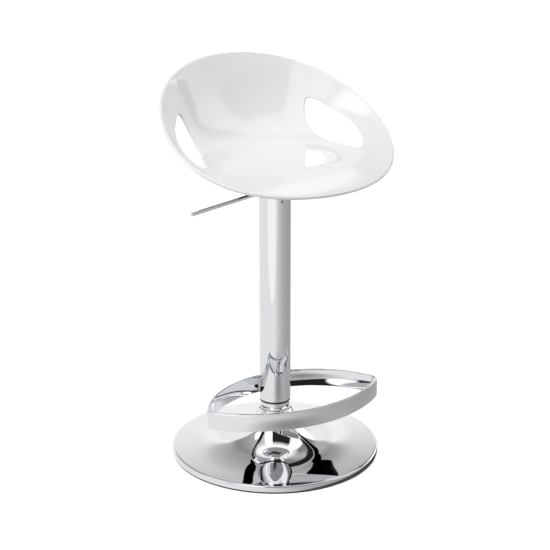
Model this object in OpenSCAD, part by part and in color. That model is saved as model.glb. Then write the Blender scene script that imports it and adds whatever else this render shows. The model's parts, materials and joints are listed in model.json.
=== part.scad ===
// Swivel bar stool on a spun trumpet base. A gas spring carries the column tube, the
// footrest and the seat shell, which lift and turn together. Millimetres, +Z up.
// The origin is on the column's axis, on the floor. The front is -Y and the lever is at -X.

/* [Overall] */
// Height of the seat pan's middle surface above the floor, at the lowest setting
seat_height = 637; // [530:1:765]
// Radius of the base
base_r = 215; // [179:1:258]
// Outer diameter of the column tube
column_d = 65; // [54:1:78]
// Wall of the column tube
column_wall = 2; // [1.5:0.1:3]

/* [Seat shell] */
// Half of the rim's width
seat_half_w = 232; // [193:1:280]
// Half of the rim's depth
seat_half_d = 235; // [196:1:282]
// How much narrower the rim is behind than in front, as a share of its width
rim_taper = 0.058; // [0:0.002:0.1]
// Rise of the rim above the pan at the front edge
rim_front_rise = -13; // [-20:1:10]
// Rise of the rim above the pan at the sides
rim_side_rise = 66; // [50:1:80]
// Rise of the rim above the pan at the back
rim_back_rise = 167; // [130:1:200]
// Extra rise of the rim between the sides and the back
rim_swoop = 16; // [0:1:24]
// Thickness of the moulded shell
shell_t = 7; // [5:0.5:9]
// How late the walls start to climb out of the pan
wall_power = 5; // [4:0.1:6]
// Depth of the hollow in the middle of the pan
pan_dish = 6; // [2:1:12]
// Distance behind the column's axis of the point that the walls spread from
eye_y = 4; // [0:1:20]
// Distance in front of the axis where the pan starts to roll down to the front edge
nose_y = 91; // [70:1:120]
// Slope of the roll at the front edge
nose_slope = 0.09; // [0:0.01:0.2]
// Softness of the start of the roll
nose_soft = 14; // [6:1:40]
// Plastic left round the outermost screw inserts in the mounting pad under the pan
pad_margin = 6; // [4:0.5:12]
// Depth of the mounting pad under the pan
pad_depth = 17; // [15:1:24]

/* [Seat cut-outs] */
// Bearing of each cut-out's back corner, from the back of the seat
cut_back_angle = 47; // [38:0.5:52]
// Bearing of each cut-out's front tip, from the back of the seat
cut_front_angle = 104; // [95:0.5:112]
// Half of the cut-out's width, as a share of the way to the rim
cut_half_w = 0.116; // [0.09:0.002:0.12]
// Middle of the cut-out at its front tip, as a share of the way to the rim
cut_mid = 0.757; // [0.74:0.002:0.77]
// How far the back corner swings out towards the rim
cut_swing = 0.105; // [0.08:0.002:0.13]

/* [Footrest] */
// Half of the loop's length before its tips are rounded
foot_half_len = 198; // [165:1:238]
// Distance from the column's axis to the front face of the loop
foot_front = 172; // [150:1:206]
// Distance in front of the column's axis of the loop's widest line
foot_chord = 88; // [74:1:105]
// Outer radius of the two tips
foot_tip_r = 20; // [14:1:30]
// Height of the flat bar
foot_h = 38; // [30:1:46]
// Thickness of the flat bar
foot_t = 5; // [4:0.5:7]
// Height of the bar's lower edge above the end of the column tube
foot_lift = 2; // [0:1:20]

/* [Base] */
// Height of the base's top edge at the rim
base_edge_z = 17; // [14:0.5:24]
// Height of the top of the trumpet
hub_z = 100; // [85:1:110]
// Width of the trumpet's top edge round the pedestal tube
hub_margin = 5.5; // [3:0.5:12]
// How sharply the trumpet flares
flare_power = 5.8; // [4:0.1:8]
// Thickness of the spun shell
dish_t = 1.5; // [1:0.1:2.5]
// Height of the floor glide
glide_h = 4; // [3:0.5:5]
// Gap between the top of the trumpet and the column tube, at the lowest setting
neck_gap = 20; // [16:1:30]

/* [Gas spring] */
// Outer diameter of the pressure tube
spring_d = 28; // [23:0.2:34]
// Diameter of the piston rod
rod_d = 10; // [8:0.5:12]
// Diameter of the release button
button_d = 8; // [6:0.5:10]

/* [Lever] */
// Diameter of the release lever
lever_d = 9; // [7.5:0.1:11]
// Distance from the column's axis to the tip of the lever
lever_reach = 187; // [150:1:218]
// Angle of the lever below level
lever_droop = 8.8; // [6:0.2:10]
// Distance of the pivot pin from the bore of the column tube
pivot_inset = 10.5; // [9.5:0.5:14]
// Diameter of the pivot pin
pin_d = 5; // [4:0.5:6]

/* [Fixings] */
// Side of the square that the seat screws stand on
screw_pitch = 100; // [84:1:112]
// Diameter of the seat screws
screw_d = 6; // [5:0.5:8]
// Side of the seat plate
plate_side = 140; // [124:1:168]
// Thickness of the seat plate
plate_t = 4; // [3:0.5:6]

/* [Hidden] */
// Radial clearance of a sliding or turning fit
run_gap = 0.05;
// Clearance round a screw in a drilled hole
hole_gap = 0.3;
// Gap between faces that pass or nearly meet
face_gap = 0.3;
// Overrun of a cutting solid
cut = 1;

// Heights from the seat down to the column
column_r = column_d / 2;
column_bore_r = column_r - column_wall;
plate_top_z = seat_height - pan_dish - shell_t / 2 - pad_depth;
tube_top_z = plate_top_z - plate_t;
tube_bottom_z = hub_z + neck_gap;

// Head block that holds the gas spring in the top of the column tube
head_top_z = tube_top_z - 44;
head_h = 50;
head_z = head_top_z - head_h;
set_screw_d = 6;
set_screw_z = head_top_z - 8;

// Slide bush and the pedestal tube that it runs on
bush_wall = 2;
bush_h = 40;
bush_lip_h = 4.5;
bush_lip_r = column_r - 0.5;
pedestal_r = column_bore_r - bush_wall;
pedestal_wall = 2;
pedestal_bore_r = pedestal_r - pedestal_wall;
pedestal_top_z = head_z - 62;
hub_r = pedestal_r + hub_margin;
guide_h = 45;
guide_lip_h = 3;

// Base, from the floor up
ballast_z = 2.5;
ballast_top_z = base_edge_z - dish_t;
ballast_r = base_r - 19;
flange_r = 60;
flange_t = 6;
pedestal_z = ballast_top_z + flange_t;
bolt_circle_r = 45;
bolt_d = 8;
bolt_head_r = 6.5;
bolt_head_h = 5;
bolt_pocket_h = bolt_head_h + 1;
glide_width = 12;
collar_h = 5;
collar_wall = 3;

// Thrust bearing and rod end, inside the pedestal tube
bearing_plate_t = 5;
bearing_z = hub_z + 3;
race_t = 2;
race_r = 13;
ball_d = 4;
ball_count = 10;
ball_circle_r = 9.5;
lower_race_top_z = bearing_z + race_t;
ball_z = lower_race_top_z + run_gap + ball_d / 2;
cage_t = 2;
upper_race_z = ball_z + ball_d / 2 + run_gap;
buffer_z = upper_race_z + race_t;
buffer_h = 16;
buffer_inset = 2;
buffer_r = spring_d / 2 - buffer_inset;
washer_t = 2;
clip_t = 1.5;
washer_z = bearing_z - bearing_plate_t - face_gap - washer_t;
clip_z = washer_z - clip_t;
rod_z = clip_z - 6;
rod_r = rod_d / 2;
groove_r = rod_r - 1;

// Gas spring
spring_r = spring_d / 2;
spring_bore_r = spring_r - 2;
spring_z = buffer_z + buffer_h + face_gap;
spring_top_z = head_top_z + 1;
taper_shrink = 1.1;
valve_h = 24;
spring_bore_top_z = spring_top_z - valve_h;
seal_h = 22;
piston_h = 15;
piston_z = spring_bore_top_z - 24;
button_r = button_d / 2;

// Lever: its centre line crosses the axis at lever_z and falls towards -X
lever_r = lever_d / 2;
lever_z = head_top_z + 11.7;
pivot_x = column_bore_r - pivot_inset;
pivot_z = lever_z - pivot_x * tan(lever_droop);
lever_inner_x = 9;
lever_tip_len = 7;
lever_len = (lever_reach + lever_inner_x) / cos(lever_droop) - lever_tip_len;
button_top_z = lever_z - lever_r / cos(lever_droop) - button_r * tan(lever_droop) - face_gap;
ear_gap = 0.7;
ear_t = 3;
ear_half_len = 6.5;
ear_drop = 5;
ear_y = lever_r + ear_gap;
slot_half_w = lever_r + 2;
slot_below = 11;
slot_above = 13;

// Seat screws and inserts
screw_head_h = 4;
screw_head_r = screw_d * 0.85;
washer_r = screw_d * 1.1;
seat_washer_t = 1.5;
insert_r = screw_d * 0.75;
insert_h = 12;
screw_len = plate_t + seat_washer_t + insert_h - 2;

// ---------------------------------------------------------------- helpers

module ring(outer_r, inner_r, z, h) {
    translate([0, 0, z])
        difference() {
            cylinder(h = h, r = outer_r, $fn = 96);
            translate([0, 0, -cut])
                cylinder(h = h + 2 * cut, r = inner_r, $fn = 96);
        }
}

module at_corners(pitch) {
    for (x = [-1, 1], y = [-1, 1])
        translate([x * pitch / 2, y * pitch / 2, 0])
            children();
}

module around(count, radius) {
    for (i = [0:count - 1])
        rotate([0, 0, i * 360 / count])
            translate([radius, 0, 0])
                children();
}

// ---------------------------------------------------------------- base

function flare(r) = base_edge_z + (hub_z - base_edge_z)
    * pow((base_r - 3 - r) / (base_r - 3 - hub_r), flare_power);
flare_steps = 26;
flare_radii = [for (i = [0:flare_steps]) base_r - 3
    - (base_r - 3 - hub_r) * (1 - pow(1 - i / flare_steps, 1.6))];

module base_dish() {
    top = [for (r = flare_radii) [r, flare(r)]];
    under = [for (i = [flare_steps:-1:0])
        [flare_radii[i] - dish_t * i / flare_steps, flare(flare_radii[i]) - dish_t]];
    color("gainsboro")
        rotate_extrude($fn = 180)
            polygon(concat(
                [[base_r - dish_t, glide_h], [base_r, glide_h], [base_r, base_edge_z - 4],
                 [base_r - 0.9, base_edge_z - 1.4]],
                top,
                [[pedestal_r + face_gap, hub_z], [pedestal_r + face_gap, hub_z - dish_t]],
                under,
                [[base_r - dish_t - 0.9, base_edge_z - dish_t - 2]]));
}

module ballast_disc() {
    color("dimgray")
        difference() {
            translate([0, 0, ballast_z])
                cylinder(h = ballast_top_z - ballast_z, r = ballast_r, $fn = 120);
            translate([0, 0, ballast_z - cut])
                cylinder(h = ballast_top_z, r = pedestal_bore_r, $fn = 96);
            around(4, bolt_circle_r) {
                translate([0, 0, ballast_z - cut])
                    cylinder(h = ballast_top_z, r = bolt_d / 2 + hole_gap, $fn = 32);
                translate([0, 0, ballast_z - cut])
                    cylinder(h = bolt_pocket_h + cut, r = bolt_head_r + 1, $fn = 32);
            }
        }
}

module glide_ring() {
    color("black")
        rotate_extrude($fn = 180)
            polygon([
                [base_r - 2 - glide_width, 0], [base_r - 3, 0], [base_r - 1.6, 1],
                [base_r - 1.6, glide_h], [base_r - dish_t - face_gap, glide_h],
                [base_r - dish_t - face_gap, glide_h + 3], [base_r - 6, glide_h + 3],
                [base_r - 6, glide_h], [base_r - 2 - glide_width, ballast_z]]);
}

module pedestal_flange() {
    color("silver")
        difference() {
            translate([0, 0, ballast_top_z])
                cylinder(h = flange_t, r = flange_r, $fn = 96);
            translate([0, 0, ballast_top_z - cut])
                cylinder(h = flange_t + 2 * cut, r = pedestal_bore_r, $fn = 96);
            around(4, bolt_circle_r)
                translate([0, 0, ballast_top_z - cut])
                    cylinder(h = flange_t + 2 * cut, r = bolt_d / 2 + run_gap, $fn = 32);
        }
}

module flange_bolts() {
    color("silver")
        around(4, bolt_circle_r)
            translate([0, 0, ballast_z + bolt_pocket_h - bolt_head_h]) {
                cylinder(h = bolt_head_h, r = bolt_head_r, $fn = 6);
                cylinder(h = ballast_top_z + flange_t - ballast_z, r = bolt_d / 2, $fn = 32);
            }
}

module pedestal_tube() {
    color("gainsboro")
        ring(pedestal_r, pedestal_bore_r, pedestal_z, pedestal_top_z - pedestal_z);
}

module neck_collar() {
    color("gainsboro")
        rotate_extrude($fn = 96)
            polygon([
                [pedestal_r, hub_z + 0.4], [pedestal_r + collar_wall, hub_z + 0.4],
                [pedestal_r + collar_wall, hub_z + collar_h - 1.5],
                [pedestal_r + collar_wall - 1.5, hub_z + collar_h],
                [pedestal_r, hub_z + collar_h]]);
}

module bearing_plate() {
    color("silver")
        ring(pedestal_bore_r, rod_r + run_gap, bearing_z - bearing_plate_t, bearing_plate_t);
}

module guide_bush() {
    color("black")
        difference() {
            union() {
                translate([0, 0, pedestal_top_z - guide_h])
                    cylinder(h = guide_h, r = pedestal_bore_r, $fn = 96);
                translate([0, 0, pedestal_top_z])
                    cylinder(h = guide_lip_h, r = pedestal_r, $fn = 96);
            }
            translate([0, 0, pedestal_top_z - guide_h - cut])
                cylinder(h = guide_h + guide_lip_h + 2 * cut, r = spring_r + run_gap, $fn = 96);
        }
}

module lower_race() {
    color("silver")
        ring(race_r, rod_r + hole_gap, bearing_z, race_t);
}

// ---------------------------------------------------------------- spring rod

module piston_rod() {
    color("silver")
        difference() {
            translate([0, 0, rod_z])
                cylinder(h = piston_z + piston_h - rod_z, r = rod_r, $fn = 48);
            ring(rod_r + cut, groove_r, clip_z, clip_t);
        }
}

module piston() {
    color("black")
        ring(spring_bore_r - run_gap, rod_r, piston_z, piston_h);
}

module bearing_balls() {
    color("silver")
        around(ball_count, ball_circle_r)
            translate([0, 0, ball_z])
                sphere(d = ball_d, $fn = 24);
}

module ball_cage() {
    color("goldenrod")
        difference() {
            ring(race_r - 0.5, rod_r + hole_gap, ball_z - cage_t / 2, cage_t);
            around(ball_count, ball_circle_r)
                translate([0, 0, ball_z - cage_t])
                    cylinder(h = 2 * cage_t, r = ball_d / 2 + run_gap, $fn = 24);
        }
}

module upper_race() {
    color("silver")
        ring(race_r, rod_r, upper_race_z, race_t);
}

module rod_buffer() {
    color("black")
        ring(buffer_r, rod_r, buffer_z, buffer_h);
}

module retaining_washer() {
    color("silver")
        ring(race_r - 1, rod_r, washer_z, washer_t);
}

module retaining_clip() {
    color("dimgray")
        difference() {
            ring(rod_r + 3.5, groove_r, clip_z, clip_t);
            translate([0, -groove_r * 0.8, clip_z - cut])
                cube([rod_r + 5, groove_r * 1.6, clip_t + 2 * cut]);
        }
}

// ---------------------------------------------------------------- column

module gas_cylinder() {
    color("dimgray")
        rotate_extrude($fn = 96)
            polygon([
                [spring_bore_r, spring_z], [spring_r, spring_z], [spring_r, head_z],
                [spring_r - taper_shrink, head_top_z], [spring_r - taper_shrink, spring_top_z],
                [button_r + run_gap, spring_top_z], [button_r + run_gap, spring_bore_top_z],
                [spring_bore_r, spring_bore_top_z]]);
}

module cylinder_end_seal() {
    color("black")
        ring(spring_bore_r, rod_r + run_gap, spring_z, seal_h);
}

module head_block() {
    color("silver")
        difference() {
            rotate_extrude($fn = 96)
                polygon([
                    [spring_r, head_z], [column_bore_r, head_z], [column_bore_r, head_top_z],
                    [spring_r - taper_shrink, head_top_z]]);
            for (side = [-1, 1])
                translate([0, side * spring_r, set_screw_z])
                    rotate([-90 * side, 0, 0])
                        cylinder(h = column_r, r = set_screw_d / 2 + run_gap, $fn = 32);
        }
}

module set_screws() {
    color("silver")
        for (side = [-1, 1])
            translate([0, side * (spring_r + 2), set_screw_z])
                rotate([-90 * side, 0, 0])
                    difference() {
                        cylinder(h = column_r - spring_r - 1.4, r = set_screw_d / 2, $fn = 32);
                        translate([0, 0, column_r - spring_r - 4])
                            cylinder(h = 4, r = set_screw_d / 4, $fn = 6);
                    }
}

module outer_tube() {
    color("gainsboro")
        difference() {
            ring(column_r, column_bore_r, tube_bottom_z, tube_top_z - tube_bottom_z);
            for (side = [-1, 1])
                translate([0, side * spring_r, set_screw_z])
                    rotate([-90 * side, 0, 0])
                        cylinder(h = column_r, r = set_screw_d / 2 + hole_gap, $fn = 32);
            translate([-column_r - cut, -slot_half_w, lever_z - slot_below])
                cube([column_r, 2 * slot_half_w, slot_below + slot_above]);
        }
}

module slide_bush() {
    color("black")
        difference() {
            union() {
                translate([0, 0, tube_bottom_z])
                    cylinder(h = bush_h, r = column_bore_r, $fn = 96);
                translate([0, 0, tube_bottom_z - bush_lip_h])
                    cylinder(h = bush_lip_h, r = bush_lip_r, $fn = 96);
            }
            translate([0, 0, tube_bottom_z - bush_lip_h - cut])
                cylinder(h = bush_h + bush_lip_h + 2 * cut, r = pedestal_r + run_gap, $fn = 96);
        }
}

// ---------------------------------------------------------------- footrest

// The loop is where two round discs overlap, with its two tips rounded
foot_back = column_r + foot_t;
front_bulge = foot_front - foot_chord;
back_bulge = foot_back + foot_chord;

function bulge_r(bulge) = (foot_half_len * foot_half_len + bulge * bulge) / (2 * bulge);

module foot_outline() {
    offset(r = foot_tip_r, $fn = 96)
        offset(delta = -foot_tip_r)
            intersection() {
                translate([0, bulge_r(front_bulge) - foot_front])
                    circle(r = bulge_r(front_bulge), $fn = 240);
                translate([0, foot_back - bulge_r(back_bulge)])
                    circle(r = bulge_r(back_bulge), $fn = 240);
            }
}

module footrest_ring() {
    color("gainsboro")
        translate([0, 0, tube_bottom_z + foot_lift])
            linear_extrude(height = foot_h)
                difference() {
                    foot_outline();
                    offset(delta = -foot_t)
                        foot_outline();
                }
}

weld_r = 2.4;
weld_x = 11;
weld_inset = 3;

module footrest_welds() {
    color("silver")
        for (side = [-1, 1])
            translate([side * weld_x, column_r - 1.4, tube_bottom_z + foot_lift + weld_inset])
                cylinder(h = foot_h - 2 * weld_inset, r = weld_r, $fn = 24);
}

// ---------------------------------------------------------------- seat mount and lever

module plate_outline() {
    corner_r = 14;
    square([plate_side, plate_side - 2 * corner_r], center = true);
    square([plate_side - 2 * corner_r, plate_side], center = true);
    at_corners(plate_side - 2 * corner_r)
        circle(r = corner_r, $fn = 48);
}

module seat_plate() {
    color("silver")
        difference() {
            translate([0, 0, tube_top_z])
                linear_extrude(height = plate_t)
                    plate_outline();
            at_corners(screw_pitch)
                translate([0, 0, tube_top_z - cut])
                    cylinder(h = plate_t + 2 * cut, r = screw_d / 2 + hole_gap, $fn = 32);
        }
}

module lever_bracket() {
    web_t = 3;
    color("silver")
        difference() {
            translate([-pivot_x - ear_half_len, -ear_y - ear_t, pivot_z - ear_drop])
                cube([2 * ear_half_len, 2 * (ear_y + ear_t), tube_top_z - pivot_z + ear_drop]);
            translate([-pivot_x - ear_half_len - cut, -ear_y, pivot_z - ear_drop - cut])
                cube([2 * ear_half_len + 2 * cut, 2 * ear_y,
                    tube_top_z - pivot_z + ear_drop - web_t + cut]);
            translate([-pivot_x, column_r, pivot_z])
                rotate([90, 0, 0])
                    cylinder(h = column_d, r = pin_d / 2, $fn = 32);
        }
}

module pivot_pin() {
    color("silver")
        translate([-pivot_x, ear_y + ear_t + 1.5, pivot_z])
            rotate([90, 0, 0])
                cylinder(h = 2 * (ear_y + ear_t + 1.5), r = pin_d / 2, $fn = 32);
}

module seat_screws() {
    color("silver")
        at_corners(screw_pitch)
            translate([0, 0, tube_top_z - seat_washer_t]) {
                cylinder(h = screw_len, r = screw_d / 2, $fn = 32);
                difference() {
                    translate([0, 0, -screw_head_h])
                        cylinder(h = screw_head_h, r = screw_head_r, $fn = 32);
                    translate([0, 0, -screw_head_h - cut])
                        cylinder(h = screw_head_h / 2 + cut, r = screw_d * 0.4, $fn = 6);
                }
            }
}

module screw_washers() {
    color("silver")
        at_corners(screw_pitch)
            ring(washer_r, screw_d / 2 + run_gap, tube_top_z - seat_washer_t, seat_washer_t);
}

module seat_inserts() {
    color("goldenrod")
        at_corners(screw_pitch)
            ring(insert_r, screw_d / 2 + run_gap, plate_top_z, insert_h);
}

// The lever's own frame: +X runs out along the rod from its inner end
module lever_frame() {
    translate([lever_inner_x, 0, lever_z + lever_inner_x * tan(lever_droop)])
        rotate([0, 0, 180])
            rotate([0, lever_droop, 0])
                children();
}

module release_lever() {
    color("gainsboro")
        difference() {
            lever_frame()
                rotate([0, 90, 0])
                    cylinder(h = lever_len, r = lever_r, $fn = 48);
            translate([-pivot_x, lever_d, pivot_z])
                rotate([90, 0, 0])
                    cylinder(h = 2 * lever_d, r = pin_d / 2 + run_gap, $fn = 32);
        }
}

module lever_tip() {
    color("gainsboro")
        lever_frame()
            translate([lever_len, 0, 0])
                rotate([0, 90, 0])
                    rotate_extrude($fn = 48)
                        intersection() {
                            union() {
                                square([lever_r + 0.5, lever_tip_len - lever_r - 0.5]);
                                translate([0, lever_tip_len - lever_r - 0.5])
                                    circle(r = lever_r + 0.5, $fn = 48);
                            }
                            square([lever_d, lever_d * 2]);
                        }
}

module release_button() {
    color("black")
        translate([0, 0, spring_bore_top_z + 4])
            cylinder(h = button_top_z - spring_bore_top_z - 4, r = button_r, $fn = 48);
}

// ---------------------------------------------------------------- seat shell

// The shell is laid out on rays from the eye. A share of 0 is the eye and 1 is the rim,
// and a bearing of 0 is the back of the seat and 180 is the front.
function rim_x(t) = seat_half_w * sin(t) * (1 - rim_taper * cos(t));
function rim_y(t) = seat_half_d * cos(t);
function rim_z(t) = seat_height + rim_side_rise
    + (rim_back_rise - rim_front_rise) / 2 * cos(t)
    + ((rim_back_rise + rim_front_rise) / 2 - rim_side_rise) * pow(cos(t), 2)
    + rim_swoop * cos(t) * pow(sin(t), 2);
function nose(y) = -nose_slope * (-nose_y - y + sqrt(pow(-nose_y - y, 2) + pow(nose_soft, 2))) / 2;
function mid(s, t) =
    let (x = s * rim_x(t), y = eye_y + s * (rim_y(t) - eye_y))
    [x, y, seat_height + nose(y) - pan_dish * pow(1 - s * s, 2)
        + (rim_z(t) - seat_height - nose(rim_y(t))) * pow(s, wall_power)];
function unit(v) = v / norm(v);
function normal(s, t) = s < 0.01 ? [0, 0, 1]
    : unit(cross(mid(s, t + 0.2) - mid(s, t - 0.2), mid(s + 0.002, t) - mid(s - 0.002, t)));

// Edges of the cut-outs. Run is 0 at the back corner and 1 at the front tip.
cut_swing_power = 5.5;
// A pointed back end and a blunt front end; the scale brings the widest place to cut_half_w
cut_back_power = 0.5;
cut_front_power = 0.65;
cut_scale = 2.19;
function cut_run(t) = (abs(t) - cut_back_angle) / (cut_front_angle - cut_back_angle);
function in_cut(t) = cut_run(t) > 0.001 && cut_run(t) < 0.999;
function cut_middle(t) = cut_mid + cut_swing * pow(1 - min(max(cut_run(t), 0), 1), cut_swing_power);
function cut_width(t) = in_cut(t)
    ? cut_half_w * cut_scale * pow(cut_run(t), cut_back_power) * pow(1 - cut_run(t), cut_front_power) : 0;

// Bearings of the columns, close together at the two ends of each cut-out
back_cells = 12;
cut_cells = 14;
front_cells = 18;
back_bearings = [for (i = [0:back_cells - 1]) cut_back_angle * (2 * i / back_cells - 1)];
right_bearings = [for (i = [0:cut_cells - 1])
    cut_back_angle + (cut_front_angle - cut_back_angle) * (1 - cos(180 * i / cut_cells)) / 2];
front_bearings = [for (i = [0:front_cells - 1])
    cut_front_angle + (360 - 2 * cut_front_angle) * i / front_cells];
left_bearings = [for (i = [0:cut_cells - 1])
    -cut_front_angle + (cut_front_angle - cut_back_angle) * (1 - cos(180 * i / cut_cells)) / 2];
bearings = concat(back_bearings, right_bearings, front_bearings, left_bearings);
columns = len(bearings);

// Rings from the eye to the rim: under the pad, pan, inner edge, outer edge, wing, rim
pad_r = screw_pitch / sqrt(2) + insert_r + pad_margin;
pad_rings = 2;
pan_rings = 6;
inner_ring = pad_rings + 1 + pan_rings;
outer_ring = inner_ring + 1;
wing_rings = 4;
last_ring = outer_ring + wing_rings;
edge_share = 1 - shell_t / 2 / seat_half_w;
pad_wall_share = 0.015;

function pad_share(t) = pad_r / norm([rim_x(t), rim_y(t) - eye_y]);
function share(i, t) =
    i <= pad_rings ? pad_share(t) * i / pad_rings
    : i <= inner_ring ? let (start = pad_share(t) + pad_wall_share)
        start + (cut_middle(t) - cut_width(t) - start) * (i - pad_rings - 1) / pan_rings
    : let (start = cut_middle(t) + cut_width(t))
        start + (edge_share - start) * pow((i - outer_ring) / wing_rings, 0.8);

function top_point(i, t) = mid(share(i, t), t) + normal(share(i, t), t) * shell_t / 2;
function under_point(i, t) =
    let (p = mid(share(i, t), t) - normal(share(i, t), t) * shell_t / 2)
    i <= pad_rings ? [p[0], p[1], plate_top_z] : p;

// Point numbers: top rings, then under rings, then the rim's edge
side_points = (last_ring + 1) * columns;
function ring_of(i, j) = i == outer_ring && !in_cut_signed(bearings[j % columns]) ? inner_ring : i;
function in_cut_signed(t) = in_cut(t > 180 ? t - 360 : t);
function signed(t) = t > 180 ? t - 360 : t;
function at(side, i, j) = side * side_points
    + (i == 0 ? 0 : ring_of(i, j) * columns + j % columns);
function rim_at(j) = 2 * side_points + j % columns;
function cell_open(j) = in_cut_signed(bearings[j % columns]) || in_cut_signed(bearings[(j + 1) % columns]);

shell_points = concat(
    [for (i = [0:last_ring], t = bearings) top_point(i, signed(t))],
    [for (i = [0:last_ring], t = bearings) under_point(i, signed(t))],
    [for (t = bearings) mid(1, signed(t))]);
surface_rings = [for (i = [1:last_ring - 1]) if (i != inner_ring) i];
shell_faces = concat(
    [for (j = [0:columns - 1]) [at(0, 0, 0), at(0, 1, j + 1), at(0, 1, j)]],
    [for (j = [0:columns - 1]) [at(1, 0, 0), at(1, 1, j), at(1, 1, j + 1)]],
    [for (i = surface_rings, j = [0:columns - 1])
        [at(0, i, j), at(0, i, j + 1), at(0, i + 1, j + 1), at(0, i + 1, j)]],
    [for (i = surface_rings, j = [0:columns - 1])
        [at(1, i, j), at(1, i + 1, j), at(1, i + 1, j + 1), at(1, i, j + 1)]],
    [for (j = [0:columns - 1]) [at(0, last_ring, j), at(0, last_ring, j + 1), rim_at(j + 1), rim_at(j)]],
    [for (j = [0:columns - 1]) [rim_at(j), rim_at(j + 1), at(1, last_ring, j + 1), at(1, last_ring, j)]],
    [for (j = [0:columns - 1]) if (cell_open(j))
        [at(0, inner_ring, j), at(0, inner_ring, j + 1), at(1, inner_ring, j + 1), at(1, inner_ring, j)]],
    [for (j = [0:columns - 1]) if (cell_open(j))
        [at(0, outer_ring, j), at(1, outer_ring, j), at(1, outer_ring, j + 1), at(0, outer_ring, j + 1)]]);

module seat_shell() {
    color("white")
        difference() {
            polyhedron(points = shell_points, faces = shell_faces, convexity = 6);
            at_corners(screw_pitch)
                translate([0, 0, plate_top_z - cut])
                    cylinder(h = insert_h + cut, r = insert_r, $fn = 32);
        }
}

base_dish();
ballast_disc();
glide_ring();
pedestal_flange();
flange_bolts();
pedestal_tube();
neck_collar();
bearing_plate();
guide_bush();
lower_race();
piston_rod();
piston();
bearing_balls();
ball_cage();
upper_race();
rod_buffer();
retaining_washer();
retaining_clip();
gas_cylinder();
cylinder_end_seal();
head_block();
set_screws();
outer_tube();
slide_bush();
footrest_ring();
footrest_welds();
seat_plate();
lever_bracket();
pivot_pin();
seat_screws();
screw_washers();
seat_inserts();
seat_shell();
release_lever();
lever_tip();
release_button();
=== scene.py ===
"""The looks of the swivel bar stool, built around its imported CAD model. Metres, +Z up, front is -Y."""
import json
import math

import bmesh
import bpy
import numpy as np
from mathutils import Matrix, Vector
from mathutils.geometry import delaunay_2d_cdt


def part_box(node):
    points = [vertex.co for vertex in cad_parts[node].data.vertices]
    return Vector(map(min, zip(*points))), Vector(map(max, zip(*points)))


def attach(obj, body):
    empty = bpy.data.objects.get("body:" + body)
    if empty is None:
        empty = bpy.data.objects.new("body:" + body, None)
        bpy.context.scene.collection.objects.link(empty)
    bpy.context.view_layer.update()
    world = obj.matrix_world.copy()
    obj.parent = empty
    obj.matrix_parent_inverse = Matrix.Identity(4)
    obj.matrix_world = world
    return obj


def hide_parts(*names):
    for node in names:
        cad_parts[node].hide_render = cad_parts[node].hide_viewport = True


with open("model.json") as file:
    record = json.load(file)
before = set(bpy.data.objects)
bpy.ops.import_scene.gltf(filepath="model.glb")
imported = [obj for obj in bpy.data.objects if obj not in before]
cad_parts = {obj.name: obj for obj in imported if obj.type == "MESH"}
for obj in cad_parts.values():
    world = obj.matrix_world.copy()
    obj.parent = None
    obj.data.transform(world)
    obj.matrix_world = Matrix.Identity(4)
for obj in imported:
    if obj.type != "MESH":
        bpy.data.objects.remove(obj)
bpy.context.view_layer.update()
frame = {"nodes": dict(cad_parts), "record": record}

# ---------------------------------------------------------------- camera
# The view: down on the stool from its front left, through a long lens.
VIEW_HEADING = math.radians(27)
VIEW_PITCH = math.radians(19.82)
VIEW_DISTANCE = 3.623
VIEW_HEIGHT = 1.695
LENS_MM = 123.7
SENSOR_MM = 36


def stage_place(toward, right, z):
    """A point in the studio: metres towards the camera and to its right, and the height."""
    return (-toward * math.sin(VIEW_HEADING) + right * math.cos(VIEW_HEADING),
            -toward * math.cos(VIEW_HEADING) - right * math.sin(VIEW_HEADING), z)


def make_camera():
    data = bpy.data.cameras.new("view")
    data.lens = LENS_MM
    data.sensor_width = SENSOR_MM
    camera = bpy.data.objects.new("view", data)
    camera.location = stage_place(VIEW_DISTANCE, 0, VIEW_HEIGHT)
    camera.rotation_euler = (math.pi / 2 - VIEW_PITCH, 0, -VIEW_HEADING)
    bpy.context.collection.objects.link(camera)
    bpy.context.scene.camera = camera


# ---------------------------------------------------------------- node helpers
LEVEL_TOP = 2.0          # the highest level that Nodes.levels can give


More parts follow.
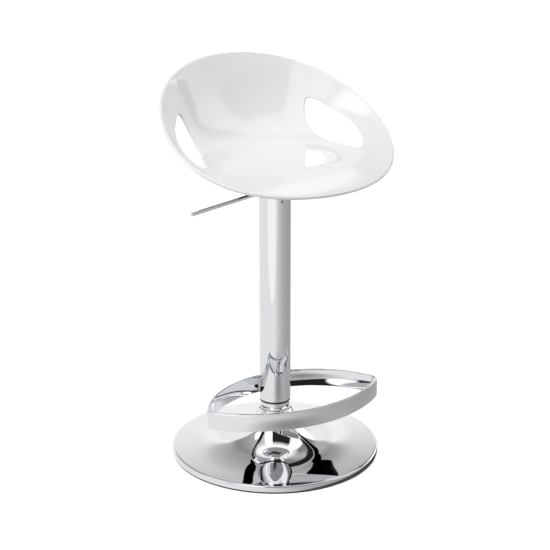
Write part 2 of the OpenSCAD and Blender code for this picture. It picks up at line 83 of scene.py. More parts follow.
class Nodes:
    """A short way to write a node tree."""

    def __init__(self, tree):
        self.tree = tree
        tree.nodes.clear()

    def add(self, kind, inputs=None, **settings):
        node = self.tree.nodes.new(kind)
        for name, value in settings.items():
            setattr(node, name, value)
        for name, value in (inputs or {}).items():
            self.put(node.inputs[name], value)
        return node

    def put(self, socket, value):
        if isinstance(value, bpy.types.NodeSocket):
            self.tree.links.new(value, socket)
        else:
            socket.default_value = value

    def math(self, operation, a, b=0.0, c=0.0):
        return self.add("ShaderNodeMath", {0: a, 1: b, 2: c}, operation=operation).outputs[0]

    def noise(self, vector, scale, detail, rough):
        inputs = {"Vector": vector, "Scale": scale, "Detail": detail, "Roughness": rough}
        return self.add("ShaderNodeTexNoise", inputs).outputs["Fac"]

    def spread(self, value, low, high, start=0.3, stop=0.7):
        """Maps value from start..stop to low..high."""
        node = self.add("ShaderNodeMapRange", {"Value": value, "From Min": start, "From Max": stop,
                                               "To Min": low, "To Max": high})
        return node.outputs["Result"]

    def mix_color(self, share, a, b):
        node = self.add("ShaderNodeMix", data_type="RGBA")
        self.put(node.inputs[0], share)
        self.put(node.inputs[6], a)
        self.put(node.inputs[7], b)
        return node.outputs[2]

    def mix_value(self, share, a, b):
        node = self.add("ShaderNodeMix", data_type="FLOAT")
        self.put(node.inputs[0], share)
        self.put(node.inputs[2], a)
        self.put(node.inputs[3], b)
        return node.outputs[0]

    def bump(self, height, strength, distance):
        inputs = {"Height": height, "Strength": strength, "Distance": distance}
        return self.add("ShaderNodeBump", inputs).outputs["Normal"]

    def levels(self, value, *stops):
        """Straight lines through (place, level) stops, for a value from -1 to 1."""
        curve = self.add("ShaderNodeFloatCurve", {"Value": self.math("MULTIPLY_ADD", value, 0.5, 0.5)})
        places = [((place + 1) / 2, level / LEVEL_TOP) for place, level in stops]
        curve.mapping.extend = "HORIZONTAL"
        points = curve.mapping.curves[0].points
        for place, level in places[1:-1]:
            points.new(place, level)
        points[0].location = places[0]
        points[-1].location = places[-1]
        for point in points:
            point.handle_type = "VECTOR"
        curve.mapping.update()
        return self.math("MULTIPLY", curve.outputs[0], LEVEL_TOP)


def new_material(name):
    """A material with its node writer, the place on the object, and a wired-up shader."""
    material = bpy.data.materials.new(name)
    material.use_nodes = True
    nodes = Nodes(material.node_tree)
    place = nodes.add("ShaderNodeTexCoord").outputs["Object"]
    shader = nodes.add("ShaderNodeBsdfPrincipled")
    output = nodes.add("ShaderNodeOutputMaterial")
    nodes.put(output.inputs["Surface"], shader.outputs[0])
    return material, nodes, place, shader


def grey(level, blue=0.0):
    return (level, level, level + blue, 1)


# ---------------------------------------------------------------- materials
def chrome(name):
    """Polished plate, with faint wiping haze and the slow ripple of a polished tube."""
    material, nodes, place, shader = new_material(name)
    haze = nodes.noise(place, 14, 4, 0.6)
    wipe = nodes.noise(place, 160, 2, 0.5)
    nodes.put(shader.inputs["Base Color"],
              nodes.mix_color(haze, (0.84, 0.85, 0.87, 1), (0.78, 0.79, 0.81, 1)))
    nodes.put(shader.inputs["Metallic"], 1.0)
    nodes.put(shader.inputs["Roughness"],
              nodes.math("ADD", nodes.spread(haze, 0.008, 0.024), nodes.spread(wipe, 0.0, 0.01)))
    ripple = nodes.noise(place, 9, 1, 0.4)
    nodes.put(shader.inputs["Normal"], nodes.bump(ripple, 0.03, 0.002))
    return material


def gloss_plastic(name):
    """Gloss injection moulding: a slight orange peel, fine dust and a clear hard reflection."""
    material, nodes, place, shader = new_material(name)
    cloud = nodes.noise(place, 7, 3, 0.5)
    dust = nodes.noise(place, 900, 2, 0.6)
    nodes.put(shader.inputs["Base Color"],
              nodes.mix_color(cloud, (0.85, 0.85, 0.858, 1), (0.88, 0.88, 0.882, 1)))
    nodes.put(shader.inputs["Roughness"],
              nodes.math("ADD", nodes.spread(cloud, 0.03, 0.05), nodes.spread(dust, 0.0, 0.015)))
    nodes.put(shader.inputs["IOR"], 1.5)
    nodes.put(shader.inputs["Coat Weight"], 0.6)
    nodes.put(shader.inputs["Coat Roughness"], 0.02)
    peel = nodes.bump(nodes.noise(place, 240, 2, 0.5), 0.03, 0.0006)
    nodes.put(shader.inputs["Normal"], peel)
    return material


def moulded_black(name, level, rough, grain, depth):
    """Black nylon or rubber with a fine moulded grain."""
    material, nodes, place, shader = new_material(name)
    cloud = nodes.noise(place, 25, 3, 0.5)
    nodes.put(shader.inputs["Base Color"], nodes.mix_color(cloud, grey(level), grey(level * 1.8)))
    nodes.put(shader.inputs["Roughness"], nodes.spread(cloud, rough - 0.06, rough + 0.06))
    nodes.put(shader.inputs["Normal"], nodes.bump(nodes.noise(place, grain, 3, 0.6), 0.35, depth))
    return material


def plated_steel(name, color, rough):
    """Zinc plate or plain turned metal, with cloudy crystals and fine machining marks."""
    material, nodes, place, shader = new_material(name)
    crystals = nodes.add("ShaderNodeTexVoronoi", {"Vector": place, "Scale": 260.0}).outputs["Distance"]
    cloud = nodes.noise(place, 40, 4, 0.6)
    darker = tuple(channel * 0.78 for channel in color)
    nodes.put(shader.inputs["Base Color"], nodes.mix_color(cloud, (*color, 1), (*darker, 1)))
    nodes.put(shader.inputs["Metallic"], 1.0)
    nodes.put(shader.inputs["Roughness"], nodes.spread(cloud, rough - 0.07, rough + 0.09))
    rings = nodes.add("ShaderNodeTexWave", {"Vector": place, "Scale": 420.0, "Distortion": 2.0},
                      bands_direction="Z").outputs["Fac"]
    marks = nodes.math("MULTIPLY_ADD", rings, 0.4, crystals)
    nodes.put(shader.inputs["Normal"], nodes.bump(marks, 0.15, 0.0003))
    return material


def enamel(name, level):
    """Satin stove enamel on pressed steel."""
    material, nodes, place, shader = new_material(name)
    cloud = nodes.noise(place, 30, 3, 0.5)
    nodes.put(shader.inputs["Base Color"],
              nodes.mix_color(cloud, grey(level, 0.004), grey(level * 1.5, 0.004)))
    nodes.put(shader.inputs["Roughness"], nodes.spread(cloud, 0.32, 0.44))
    nodes.put(shader.inputs["Normal"], nodes.bump(nodes.noise(place, 700, 2, 0.5), 0.25, 0.0003))
    return material


def cast_iron(name):
    """Sealed sand casting: pits, grains and a worn dark wash."""
    material, nodes, place, shader = new_material(name)
    cloud = nodes.noise(place, 12, 5, 0.6)
    sand = nodes.noise(place, 420, 4, 0.7)
    nodes.put(shader.inputs["Base Color"], nodes.mix_color(cloud, grey(0.035), grey(0.09, 0.004)))
    nodes.put(shader.inputs["Metallic"], 0.3)
    nodes.put(shader.inputs["Roughness"], nodes.spread(sand, 0.5, 0.75))
    nodes.put(shader.inputs["Normal"], nodes.bump(sand, 0.6, 0.0008))
    return material


def make_materials():
    return {
        "polished_chrome": chrome("stool_chrome"),
        "white_shell": gloss_plastic("seat_white_gloss"),
        "black_glide": moulded_black("glide_rubber", 0.012, 0.55, 500.0, 0.0004),
        "black_nylon": moulded_black("bush_nylon", 0.018, 0.38, 900.0, 0.0002),
        "rubber_buffer": moulded_black("buffer_rubber", 0.02, 0.6, 400.0, 0.0005),
        "ballast_iron": cast_iron("ballast_cast_iron"),
        "zinc_steel": plated_steel("zinc_plate", (0.62, 0.63, 0.66), 0.32),
        "ground_rod": plated_steel("ground_steel", (0.74, 0.74, 0.76), 0.18),
        "black_steel": enamel("black_enamel", 0.02),
        "brass_cage": plated_steel("turned_brass", (0.78, 0.57, 0.25), 0.26),
    }


def finish_cad_nodes(materials):
    """Every CAD node keeps its shape and gets its slot's material."""
    for row in frame["record"]["subparts"]:
        for slot in frame["nodes"][row["node"]].material_slots:
            slot.material = materials[row["material_slot"]]


# ---------------------------------------------------------------- mesh helpers
def new_object(name, bm, material):
    bmesh.ops.recalc_face_normals(bm, faces=bm.faces)
    mesh = bpy.data.meshes.new(name)
    bm.to_mesh(mesh)
    bm.free()
    mesh.shade_smooth()
    mesh.materials.append(material)
    obj = bpy.data.objects.new(name, mesh)
    bpy.context.collection.objects.link(obj)
    return obj


def bridge(bm, loop_a, loop_b):
    """Joins two closed loops of vertices with quads."""
    count = len(loop_a)
    for i in range(count):
        j = (i + 1) % count
        bm.faces.new((loop_a[i], loop_a[j], loop_b[j], loop_b[i]))


# ---------------------------------------------------------------- seat shell
# The same rule as the CAD shell, for its middle surface. A point has a share s, 0 at the eye in the middle of
# the pan and 1 on the rim, and a bearing t, 0 at the back.
SEAT_HEIGHT = 0.637
HALF_W = 0.2298
HALF_D = 0.2334
BACK_INSET = 0.0016      # keeps the leaning back's rim half a wall inside the CAD shell
RIM_TAPER = 0.058
FRONT_RISE = -0.013
SIDE_RISE = 0.066
BACK_RISE = 0.1667
RIM_SWOOP = 0.016
SHELL_T = 0.007
WALL_POWER = 5
PAN_DISH = 0.006
EYE_Y = 0.004
NOSE_Y = 0.091
NOSE_SLOPE = 0.09
NOSE_SOFT = 0.014
PAD_DEPTH = 0.017
PAD_R = 0.0812
CUT_BACK = math.radians(47)
CUT_FRONT = math.radians(104)
CUT_HALF_W = 0.116
CUT_MID = 0.757
CUT_SWING = 0.105
CUT_SWING_POWER = 5.5
CUT_BACK_POWER = 0.5
CUT_FRONT_POWER = 0.65
CUT_SCALE = 2.19

RIM_ROUND = 0.0034       # radius of the rim's upper edge
UNDER_ROUND = 0.0014     # radius of the rim's lower edge
CUT_ROUND = 0.0016       # radius of the cut-outs' edges
ROUND_STEPS = 5
# The mounting pad's rounded edge, out from its radius and up from its face
PAD_EDGE = [(-0.0012, 0.0), (-0.0004, 0.0004), (0.0, 0.0012)]
PAD_APRON = (0.0012, 0.003)      # rings of points round the pad
PAD_CLEAR_IN = 0.004
PAD_CLEAR_OUT = 0.006
ON_PAD = 1e-5

MESH_STEP = 0.0042       # size of the triangles
EDGE_GUARD = 0.8         # in mesh steps, from an edge to the first row of points
ROW_GAP = 0.5            # in mesh steps, from that row to the loose points
JOIN_DISTANCE = 1e-7
RIM_SAMPLES = 800
RIM_POINTS = 400
CUT_SAMPLES = 600
CUT_POINTS = 150
PAD_POINTS = 150


def rim(t):
    """The rim's middle line at a bearing."""
    x = HALF_W * np.sin(t) * (1 - RIM_TAPER * np.cos(t))
    y = (HALF_D - BACK_INSET * np.cos(t)) * np.cos(t)
    z = (SEAT_HEIGHT + SIDE_RISE + (BACK_RISE - FRONT_RISE) / 2 * np.cos(t)
         + ((BACK_RISE + FRONT_RISE) / 2 - SIDE_RISE) * np.cos(t) ** 2
         + RIM_SWOOP * np.cos(t) * np.sin(t) ** 2)
    return x, y, z


def nose(y):
    """How far the pan rolls down ahead of the thighs."""
    ahead = -NOSE_Y - y
    return -NOSE_SLOPE * (ahead + np.sqrt(ahead ** 2 + NOSE_SOFT ** 2)) / 2


def shell_mid(s, t):
    """A point of the shell's middle surface."""
    rx, ry, rz = rim(t)
    y = EYE_Y + s * (ry - EYE_Y)
    z = (SEAT_HEIGHT + nose(y) - PAN_DISH * (1 - s * s) ** 2
         + (rz - SEAT_HEIGHT - nose(ry)) * s ** WALL_POWER)
    return np.stack([s * rx, y, z], -1)


# A flat map of the shell, nearly true to length, on which its triangles are laid out
MAP_REACH = 0.235
MAP_CLIMB = 0.035
MAP_S = np.linspace(0, 1.05, 400)
MAP_R = MAP_REACH * MAP_S + MAP_CLIMB * MAP_S ** WALL_POWER


def to_map(s, t):
    r = np.interp(s, MAP_S, MAP_R)
    return np.stack([r * np.sin(t), r * np.cos(t)], -1)


def from_map(uv):
    return np.interp(np.hypot(uv[..., 0], uv[..., 1]), MAP_R, MAP_S), np.arctan2(uv[..., 0], uv[..., 1])


def map_point(uv):
    return shell_mid(*from_map(uv))


def map_frame(uv, step=2e-4):
    """The two edges of the map at uv, in space, and the unit normal."""
    du = (map_point(uv + [step, 0]) - map_point(uv - [step, 0])) / (2 * step)
    dv = (map_point(uv + [0, step]) - map_point(uv - [0, step])) / (2 * step)
    normal = np.cross(du, dv)
    normal /= np.linalg.norm(normal, axis=-1, keepdims=True)
    normal *= np.sign(normal[..., 2:3] + 1e-9)
    return du, dv, normal


def even(points, count):
    """A closed line of points resampled to even steps in space."""
    closed = np.vstack([points, points[:1]])
    length = np.r_[0, np.cumsum(np.linalg.norm(np.diff(map_point(closed), axis=0), axis=1))]
    at = np.linspace(0, length[-1], count, endpoint=False)
    return np.stack([np.interp(at, length, closed[:, k]) for k in range(2)], -1)


def shifted(loop, distance):
    """A closed line on the map, moved sideways in the surface by a true distance."""
    du, dv, normal = map_frame(loop)
    ahead = map_point(np.roll(loop, -1, 0)) - map_point(np.roll(loop, 1, 0))
    side = np.cross(ahead, normal)
    side /= np.linalg.norm(side, axis=1, keepdims=True)
    moved = []
    for a, b, s in zip(du, dv, side):
        moved.append(np.linalg.lstsq(np.stack([a, b], 1), s * distance, rcond=None)[0])
    return loop + np.array(moved), side


def cut_outline(mirror):
    """The edge of one cut-out on the map, anticlockwise seen from above."""
    angle = np.linspace(0, math.pi, CUT_SAMPLES)
    run = (1 - np.cos(angle)) / 2
    t = CUT_BACK + (CUT_FRONT - CUT_BACK) * run
    middle = CUT_MID + CUT_SWING * (1 - run) ** CUT_SWING_POWER
    width = CUT_HALF_W * CUT_SCALE * run ** CUT_BACK_POWER * (1 - run) ** CUT_FRONT_POWER
    points = np.vstack([to_map(middle - width, t), to_map(middle + width, t)[-2:0:-1]])
    if mirror < 0:
        points = (points * [-1, 1])[::-1]
    return points


def inside(points, loop):
    """Which points lie inside a closed line, by crossings."""
    x, y = points[:, 0], points[:, 1]
    result = np.zeros(len(points), bool)
    for (x1, y1), (x2, y2) in zip(loop, np.roll(loop, -1, 0)):
        crosses = (y1 > y) != (y2 > y)
        with np.errstate(divide="ignore", invalid="ignore"):
            result ^= crosses & (x < (x2 - x1) * (y - y1) / (y2 - y1) + x1)
    return result


def scatter():
    """Rings of map points over the whole shell."""
    points = [[0.0, 0.0]]
    for k in range(1, int(MAP_R[-1] / MESH_STEP)):
        count = int(2 * math.pi * k)
        turn = 2 * math.pi * (np.arange(count) + 0.5 * (k % 2)) / count
        points += list(np.stack([k * MESH_STEP * np.sin(turn), k * MESH_STEP * np.cos(turn)], -1))
    return np.array(points)


def pad_ring(radius):
    """A ring of map points whose place in space lies on a circle round the eye."""
    turn = 2 * math.pi * np.arange(PAD_POINTS) / PAD_POINTS
    rx, ry = rim(turn)[:2]
    return to_map(radius / np.hypot(rx, ry - EYE_Y), turn)


def signed_area(loop):
    x, y = loop[:, 0], loop[:, 1]
    return np.sum(x * np.roll(y, -1) - np.roll(x, -1) * y) / 2


def from_eye(place):
    return np.hypot(place[:, 0], place[:, 1] - EYE_Y)


def loose_points(guards):
    """The scattered points that are clear of the rim, the cut-outs and the pad's edge."""
    points = scatter()
    keep = inside(points, shifted(guards[0], -MESH_STEP * ROW_GAP)[0])
    for guard in guards[1:]:
        keep &= ~inside(points, shifted(guard, MESH_STEP * ROW_GAP)[0])
    distance = from_eye(map_point(points))
    keep &= (distance < PAD_R - PAD_CLEAR_IN) | (distance > PAD_R + PAD_CLEAR_OUT)
    return points[keep]


def triangulate(loops):
    """Triangles between the rim and the cut-outs: all points, where each loop's points are, and the faces."""
    guards = [shifted(loops[0], -MESH_STEP * EDGE_GUARD)[0]]
    guards += [shifted(loop, MESH_STEP * EDGE_GUARD)[0] for loop in loops[1:]]
    pads = [pad_ring(PAD_R + out) for out in [out for out, up in PAD_EDGE] + list(PAD_APRON)]
    points = np.vstack(loops + guards + pads + [loose_points(guards)])
    links, start = [], 0
    for loop in loops:
        count = len(loop)
        links += [(start + i, start + (i + 1) % count) for i in range(count)]
        start += count
    result = delaunay_2d_cdt([Vector(p) for p in points], links, [], 0, JOIN_DISTANCE)
    verts = np.array([tuple(v) for v in result[0]])
    # Joined points share one vertex, so each input point is looked up
    where = {source: index for index, sources in enumerate(result[3]) for source in sources}
    middle = np.array([verts[list(face)].mean(0) for face in result[2]])
    keep = inside(middle, loops[0])
    for loop in loops[1:]:
        keep &= ~inside(middle, loop)
    faces = [face for face, ok in zip(result[2], keep) if ok]
    return verts, [where[i] for i in range(start)], faces


def under_side(place, under):
    """The underside, which drops to the pad's flat face inside the pad's ring."""
    out = from_eye(place) - PAD_R
    face = SEAT_HEIGHT - PAN_DISH - SHELL_T / 2 - PAD_DEPTH
    rise = np.interp(out, *zip(*PAD_EDGE))
    on_pad = out <= ON_PAD
    z = np.where(on_pad, face + rise, under[:, 2])
    xy = np.where(on_pad[:, None], place[:, :2], under[:, :2])
    return np.column_stack([xy, z])


def round_edge(bm, top_loop, under_loop, place, normal, side, upper, lower):
    """Closes the shell along one edge, with a rounded upper and lower corner."""
    previous = top_loop
    for k in range(1, ROUND_STEPS + 1):
        angle = math.pi / 2 * k / ROUND_STEPS
        centre = place + normal * (SHELL_T / 2 - upper)
        ring = centre + upper * (normal * math.cos(angle) + side * math.sin(angle))
        loop = [bm.verts.new(p) for p in ring]
        bridge(bm, previous, loop)
        previous = loop
    for k in range(ROUND_STEPS):
        angle = math.pi / 2 * k / ROUND_STEPS
        centre = place - normal * (SHELL_T / 2 - lower) + side * (upper - lower)
        ring = centre + lower * (side * math.cos(angle) - normal * math.sin(angle))
        loop = [bm.verts.new(p) for p in ring]
        bridge(bm, previous, loop)
        previous = loop
    bridge(bm, previous, under_loop)


def shell_solid(loops, sides, material):
    """The shell between its upper and lower surfaces, closed along each loop."""
    verts, loop_index, faces = triangulate(loops)
    place = map_point(verts)
    normal = map_frame(verts)[2]
    top = place + normal * SHELL_T / 2
    under = under_side(place, place - normal * SHELL_T / 2)
    used = sorted({i for face in faces for i in face})
    bm = bmesh.new()
    top_verts = {i: bm.verts.new(top[i]) for i in used}
    under_verts = {i: bm.verts.new(under[i]) for i in used}
    for face in faces:
        bm.faces.new([top_verts[i] for i in face])
        bm.faces.new([under_verts[i] for i in reversed(face)])
    start = 0
    for number, (loop, side) in enumerate(zip(loops, sides)):
        index = loop_index[start:start + len(loop)]
        start += len(loop)
        upper, lower = (CUT_ROUND, CUT_ROUND) if number else (RIM_ROUND, UNDER_ROUND)
        round_edge(bm, [top_verts[i] for i in index], [under_verts[i] for i in index],
                   place[index], normal[index], side, upper, lower)
    return new_object("seat_shell_moulding", bm, material)


def build_shell(material):
    """The loops are the rim and then the cut-outs, each moved in by the radius of its rounded edge."""
    bearings = np.linspace(0, -2 * math.pi, RIM_SAMPLES, endpoint=False)
    outline = even(to_map(np.full(RIM_SAMPLES, 1.0), bearings), RIM_POINTS)
    cuts = [even(cut_outline(side), CUT_POINTS) for side in (1, -1)]
    loops, sides = [], []
    for loop, inset, way in [(outline, -RIM_ROUND, 1)] + [(cut, CUT_ROUND, -1) for cut in cuts]:
        turned = loop if signed_area(loop) > 0 else loop[::-1]
        moved, side = shifted(turned, inset)
        loops.append(moved)
        sides.append(way * side)
    return shell_solid(loops, sides, material)


# ---------------------------------------------------------------- footrest loop
FOOT_HALF_LEN = 0.198
FOOT_FRONT = 0.172
FOOT_CHORD = 0.088
FOOT_TIP_R = 0.020
FOOT_T = 0.005
BAR_ROUND = 0.0011
ARC_STEP = 0.003


def bulge_radius(bulge):
    return (FOOT_HALF_LEN ** 2 + bulge ** 2) / (2 * bulge)


def foot_arcs():
    """The loop's outer face as arcs: centre, radius, first and last direction of its normal."""
    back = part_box("footrest_ring")[1][1]
    front_r = bulge_radius(FOOT_FRONT - FOOT_CHORD)
    back_r = bulge_radius(back + FOOT_CHORD)
    front_y = front_r - FOOT_FRONT
    back_y = back - back_r
    a, b = front_r - FOOT_TIP_R, back_r - FOOT_TIP_R
    tip_y = (front_y ** 2 - back_y ** 2 - a * a + b * b) / (2 * (front_y - back_y))
    tip_x = math.sqrt(a * a - (tip_y - front_y) ** 2)
    front_turn = math.atan2(tip_x, front_y - tip_y)
    back_turn = math.atan2(tip_x, tip_y - back_y)
    quarter = math.pi / 2
    return [((0, front_y), front_r, -quarter - front_turn, -quarter + front_turn),
            ((tip_x, tip_y), FOOT_TIP_R, -quarter + front_turn, quarter - back_turn),
            ((0, back_y), back_r, quarter - back_turn, quarter + back_turn),
            ((-tip_x, tip_y), FOOT_TIP_R, quarter + back_turn, 3 * quarter - front_turn)]


def bar_section(height):
    """The flat bar's section: inward from the outer face and up from its lower edge."""
    corners = [(BAR_ROUND, BAR_ROUND, 2), (BAR_ROUND, height - BAR_ROUND, 1),
               (FOOT_T - BAR_ROUND, height - BAR_ROUND, 0), (FOOT_T - BAR_ROUND, BAR_ROUND, 3)]
    section = []
    for inward, up, quarter in corners:
        for k in range(4):
            angle = math.pi / 2 * (quarter + (1 - k / 3))
            section.append((inward + BAR_ROUND * math.cos(angle), up + BAR_ROUND * math.sin(angle)))
    return section


def build_footrest(material):
    low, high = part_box("footrest_ring")
    section = bar_section(high[2] - low[2])
    bm = bmesh.new()
    rings = []
    for (cx, cy), radius, first, last in foot_arcs():
        count = max(8, int(radius * (last - first) / ARC_STEP))
        for k in range(count):
            turn = first + (last - first) * k / count
            nx, ny = math.cos(turn), math.sin(turn)
            rings.append([bm.verts.new((cx + nx * (radius - inward), cy + ny * (radius - inward),
                                        low[2] + up))
                          for inward, up in section])
    for i in range(len(rings)):
        bridge(bm, rings[i], rings[(i + 1) % len(rings)])
    return new_object("footrest_flat_bar", bm, material)


# ---------------------------------------------------------------- base dish
BASE_EDGE_Z = 0.017
HUB_R = 0.034
PEDESTAL_BORE = 0.0286
FLARE_POWER = 5.8
DISH_T = 0.0015
LIP_ROUND = 0.0032
DISH_SEGMENTS = 360
DISH_STEPS = 110


def dish_profile():
    """Radius and height round the dish's section, from its foot over the top to the underside."""
    low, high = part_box("base_dish")
    edge, foot, hub_z = high[0], low[2], high[2]
    flat_r = edge - 0.003
    share = (1 - np.linspace(0, 1, DISH_STEPS + 1)) ** 1.6
    r = flat_r - (flat_r - HUB_R) * (1 - share)
    z = BASE_EDGE_Z + (hub_z - BASE_EDGE_Z) * ((flat_r - r) / (flat_r - HUB_R)) ** FLARE_POWER
    lip = [(edge - 0.0012, foot), (edge - 0.0003, foot + 0.0004), (edge, foot + 0.0012)]
    for k in range(9):
        angle = math.pi / 2 * k / 8
        lip.append((edge - LIP_ROUND * (1 - math.cos(angle)),
                    BASE_EDGE_Z - LIP_ROUND * (1 - math.sin(angle))))
    top = [(a, b) for a, b in zip(r, z) if a < edge - LIP_ROUND - 0.001]
    hub = [(PEDESTAL_BORE + 0.0006, hub_z), (PEDESTAL_BORE, hub_z - 0.0006), (PEDESTAL_BORE, hub_z - DISH_T)]
    under = [(a - DISH_T * min(1, 3 * (flat_r - a) / flat_r), b - DISH_T) for a, b in reversed(top)]
    under = [(max(a, PEDESTAL_BORE), min(b, hub_z - DISH_T)) for a, b in under]
    return lip + top + hub + under + [(edge - DISH_T, BASE_EDGE_Z - DISH_T - 0.002), (edge - DISH_T, foot)]


def build_dish(material):
    bm = bmesh.new()
    profile = dish_profile()
    turns = [2 * math.pi * k / DISH_SEGMENTS for k in range(DISH_SEGMENTS)]
    rings = [[bm.verts.new((r * math.cos(t), r * math.sin(t), z)) for r, z in profile] for t in turns]
    for i in range(DISH_SEGMENTS):
        bridge(bm, rings[i], rings[(i + 1) % DISH_SEGMENTS])
    return new_object("base_dish_spun", bm, material)


# ---------------------------------------------------------------- floor and light
def make_floor():
    """A pale floor, wide enough to fill every view."""
    bm = bmesh.new()
    bmesh.ops.create_circle(bm, cap_ends=True, segments=96, radius=40)
    material, nodes, place, shader = new_material("pale_floor")
    tone = nodes.noise(place, 0.7, 2, 0.5)
    nodes.put(shader.inputs["Base Color"], nodes.mix_color(tone, grey(0.93), grey(0.95)))
    nodes.put(shader.inputs["Roughness"], 0.9)
    nodes.put(shader.inputs["Specular IOR Level"], 0.0)
    nodes.put(shader.inputs["Emission Color"], grey(1.0))
    nodes.put(shader.inputs["Emission Strength"], 0.55)
    floor = new_object("studio_floor", bm, material)
    floor.location.z = -0.0002
    floor.visible_glossy = False
    floor.visible_diffuse = False


def make_sky():
    """A white cove behind the stool, a greyer room in front, and a floor that greys to the right."""
    world = bpy.data.worlds.new("studio")
    world.use_nodes = True
    bpy.context.scene.world = world
    nodes = Nodes(world.node_tree)
    way = nodes.add("ShaderNodeTexCoord").outputs["Generated"]

    def along(x, y, z):
        return nodes.add("ShaderNodeVectorMath", {0: way, 1: (x, y, z)},
                         operation="DOT_PRODUCT").outputs["Value"]

    toward = along(-math.sin(VIEW_HEADING), -math.cos(VIEW_HEADING), 0)
    right = along(math.cos(VIEW_HEADING), -math.sin(VIEW_HEADING), 0)
    up = along(0, 0, 1)
    # Heading round the stool as a share of half a turn: 0 is the camera, 0.5 its right, 1 behind
    heading = nodes.math("DIVIDE", nodes.math("ARCTAN2", right, toward), math.pi)
    cove = nodes.levels(up, (-1, 0.95), (0.33, 0.95), (0.385, 1.05), (0.407, 1.05), (0.423, 0.87),
                  (0.438, 0.62), (0.454, 0.52), (0.5, 0.44), (0.6, 0.36), (1, 0.3))
    aslant = nodes.levels(right, (-1, 1.1), (-0.06, 1.1), (0.05, 0.74), (1, 0.74))
    aslant = nodes.mix_value(nodes.levels(up, (-1, 0), (0.41, 0), (0.43, 1), (1, 1)), 1.0, aslant)
    cove = nodes.math("MULTIPLY", cove, aslant)
    low_wall = nodes.levels(heading, (-1, 1.0), (-0.6, 1.0), (-0.4, 0.6), (0.4, 0.6), (0.6, 1.1), (0.66, 1.9),
                      (0.78, 1.9), (0.86, 1.0), (1, 1.0))
    strips = nodes.levels(heading, (-1, 0.3), (-0.8, 0.3), (-0.5, 0.5), (-0.28, 0.7), (-0.26, 1.5), (-0.08,
                                                                                                     1.5),
                    (-0.06, 0.02), (0.38, 0.02), (0.42, 1.2), (0.64, 1.2), (0.68, 0.25), (0.78, 0.25),
                     (0.86, 0.5), (1, 0.5))
    strips = nodes.mix_value(nodes.levels(up, (-1, 0.0), (0.36, 0.0), (0.41, 1.0), (1, 1.0)), low_wall,
                             strips)
    at_back = nodes.levels(heading, (-1, 1.0), (-0.9, 1.0), (-0.82, 0.0), (0.92, 0.0), (0.96, 1.0), (1, 1.0))
    upper = nodes.mix_value(at_back, strips, cove)
    side_box = nodes.math("MULTIPLY", nodes.levels(heading, (-1, 0), (-0.52, 0), (-0.48, 1), (-0.34, 1),
                                                   (-0.3, 0), (1, 0)),
                          nodes.levels(up, (-1, 0), (0.47, 0), (0.5, 1), (0.64, 1), (0.68, 0), (1, 0)))
    upper = nodes.math("MULTIPLY_ADD", side_box, 2.0, upper)
    doorway = nodes.math("MULTIPLY", nodes.levels(heading, (-1, 0), (-0.42, 0), (-0.38, 1), (-0.28, 1),
                                                  (-0.25, 0), (1, 0)),
                         nodes.levels(up, (-1, 0), (0.33, 0), (0.35, 1), (0.43, 1), (0.46, 0), (1, 0)))
    upper = nodes.mix_value(doorway, upper, 0.04)
    upper = nodes.mix_value(nodes.levels(up, (-1, 0.0), (0.84, 0.0), (0.93, 1.0), (1, 1.0)), upper, 1.2)
    lower = nodes.levels(right, (-1, 0.9), (-0.1, 0.92), (0.25, 0.75), (0.6, 0.58), (0.95, 0.44), (1, 0.44))
    shade = nodes.levels(toward, (-1, 0.72), (-0.5, 0.8), (0.0, 1.0), (1, 1.0))
    lower = nodes.mix_value(nodes.levels(right, (-1, 0.0), (0.0, 0.0), (0.3, 1.0), (1, 1.0)), lower,
                nodes.math("MULTIPLY", lower, shade))
    light = nodes.mix_value(nodes.levels(up, (-1, 0.0), (-0.15, 0.0), (0.0, 1.0), (1, 1.0)), lower, upper)
    back = nodes.add("ShaderNodeBackground", {"Color": grey(1.0), "Strength": light})
    output = nodes.add("ShaderNodeOutputWorld")
    nodes.put(output.inputs["Surface"], back.outputs[0])


def card(name, outline, level, veil=False, core=None, rays="glossy"):
    """A studio card that only one kind of ray sees, and never the camera.
    A veil adds its light to what is behind it. A card with a core fades from that point, or from that line of
    points, out to its outline."""
    bm = bmesh.new()
    cover = bm.verts.layers.float.new("cover")
    edge = [bm.verts.new(stage_place(*point)) for point in outline]
    if core is None:
        bm.faces.new(edge)
        for vert in edge:
            vert[cover] = 1.0
    else:
        middle = bm.verts.new(stage_place(*core))
        middle[cover] = 1.0
        for i in range(len(edge)):
            bm.faces.new((edge[i], edge[(i + 1) % len(edge)], middle))
    material, nodes, place, shader = new_material(name)
    nodes.put(shader.inputs["Base Color"], grey(0.0))
    nodes.put(shader.inputs["Specular IOR Level"], 0.0)
    nodes.put(shader.inputs["Emission Color"], grey(1.0))
    nodes.put(shader.inputs["Emission Strength"], level)
    both = shader.outputs[0]
    if veil or core:
        clear = nodes.add("ShaderNodeBsdfTransparent").outputs[0]
    if veil:
        both = nodes.add("ShaderNodeAddShader", {0: clear, 1: shader.outputs[0]}).outputs[0]
    elif core:
        fade = nodes.add("ShaderNodeAttribute", attribute_name="cover").outputs["Fac"]
        fade = nodes.add("ShaderNodeMapRange", {"Value": fade},
                         interpolation_type="SMOOTHSTEP").outputs["Result"]
        both = nodes.add("ShaderNodeMixShader", {0: fade, 1: clear, 2: shader.outputs[0]}).outputs[0]
    output = next(node for node in nodes.tree.nodes if node.type == "OUTPUT_MATERIAL")
    nodes.put(output.inputs["Surface"], both)
    obj = new_object(name, bm, material)
    for ray in ("camera", "diffuse", "glossy", "transmission", "volume_scatter"):
        setattr(obj, "visible_" + ray, ray == rays)
    obj.visible_shadow = level == 0


def disc_outline(toward, right, radius, z, count=96):
    turn = [2 * math.pi * k / count for k in range(count)]
    return [(toward + radius * math.cos(a), right + radius * math.sin(a), z) for a in turn]


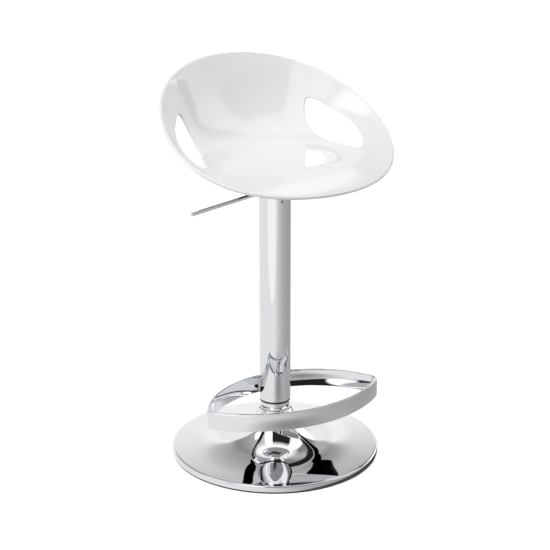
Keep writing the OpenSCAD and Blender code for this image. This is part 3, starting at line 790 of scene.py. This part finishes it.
def ring_outline(inner, width, first, last, z, count=48):
    """Part of a ring round the stool, from one heading to another, that tapers to both ends."""
    outline = []
    for a in np.linspace(first, last, count):
        outer = inner + width * math.sin(math.pi * (a - first) / (last - first)) ** 0.7
        outline.append((outer * math.cos(a), outer * math.sin(a), z))
    for a in np.linspace(last, first, count)[1:-1]:
        outline.append((inner * math.cos(a), inner * math.sin(a), z))
    return outline


def make_cards():
    card("round_reflector", disc_outline(2.0, -0.73, 1.2, 0.0), 0.16, veil=True)
    card("grey_ground", disc_outline(0, 0, 4.0, -0.002), 0.36, rays="diffuse")
    flag = [(0.085, 0.68), (0.12, 0.65), (0.165, 0.652), (0.178, 0.668), (0.19, 0.76), (0.35, 0.92),
            (1.0, 1.05), (1.8, 1.0), (3.5, 1.4),
            (3.5, 2.0), (1.6, 1.75), (0.7, 1.6), (0.3, 1.25), (0.16, 0.8), (0.11, 0.7)]
    card("black_flag", [(-1.2, across, z) for across, z in flag], 0.0)
    slip = [(-0.085, 0.66), (-0.060, 0.66), (-0.065, 0.75), (-0.085, 0.88), (-0.2, 1.3), (-0.4, 2.0),
            (-0.33, 1.5), (-0.15, 1.0), (-0.11, 0.8)]
    panel = [(0.0, 0.690), (0.12, 0.690), (0.12, 0.715), (0.09, 0.738), (0.0, 0.738)]
    card("bright_panel", [(-0.3, across, z) for across, z in panel], 1.9)
    card("narrow_black_flag", [(-1.2, across, z) for across, z in slip], 0.0)
    # A grey sheet on the floor in front of the base, seen only in reflections: a painted shadow of the base
    # on the floor.
    card("painted_base_shadow_card", disc_outline(0.36, 0.16, 0.30, 0.0004), 0.3, core=(0.36, 0.16, 0.0004))
    # A dark ring on the floor round the base's foot, seen only in reflections: a painted contact shadow.
    card("painted_contact_shadow_ring", ring_outline(0.2156, 0.013, 0.1, 2.6, 0.0008), 0.05)


def make_light():
    make_sky()
    make_cards()
    data = bpy.data.lights.new("overhead_soft_box", "AREA")
    data.shape = "RECTANGLE"
    data.size = 2.2
    data.size_y = 1.6
    data.energy = 20
    lamp = bpy.data.objects.new("overhead_soft_box", data)
    lamp.location = (-0.9, -0.6, 2.6)
    lamp.rotation_euler = Vector((0.9, 0.6, -2.0)).to_track_quat("-Z", "Y").to_euler()
    lamp.visible_camera = False
    lamp.visible_glossy = False
    bpy.context.collection.objects.link(lamp)


def main():
    make_camera()
    scene = bpy.context.scene
    scene.view_settings.view_transform = "Standard"
    materials = make_materials()
    finish_cad_nodes(materials)
    shell = build_shell(materials["white_shell"])
    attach(shell, "column")
    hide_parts("seat_shell")
    footrest = build_footrest(materials["polished_chrome"])
    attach(footrest, "column")
    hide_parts("footrest_ring")
    dish = build_dish(materials["polished_chrome"])
    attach(dish, "base")
    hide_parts("base_dish")
    make_floor()
    make_light()
    bpy.context.view_layer.update()


main()
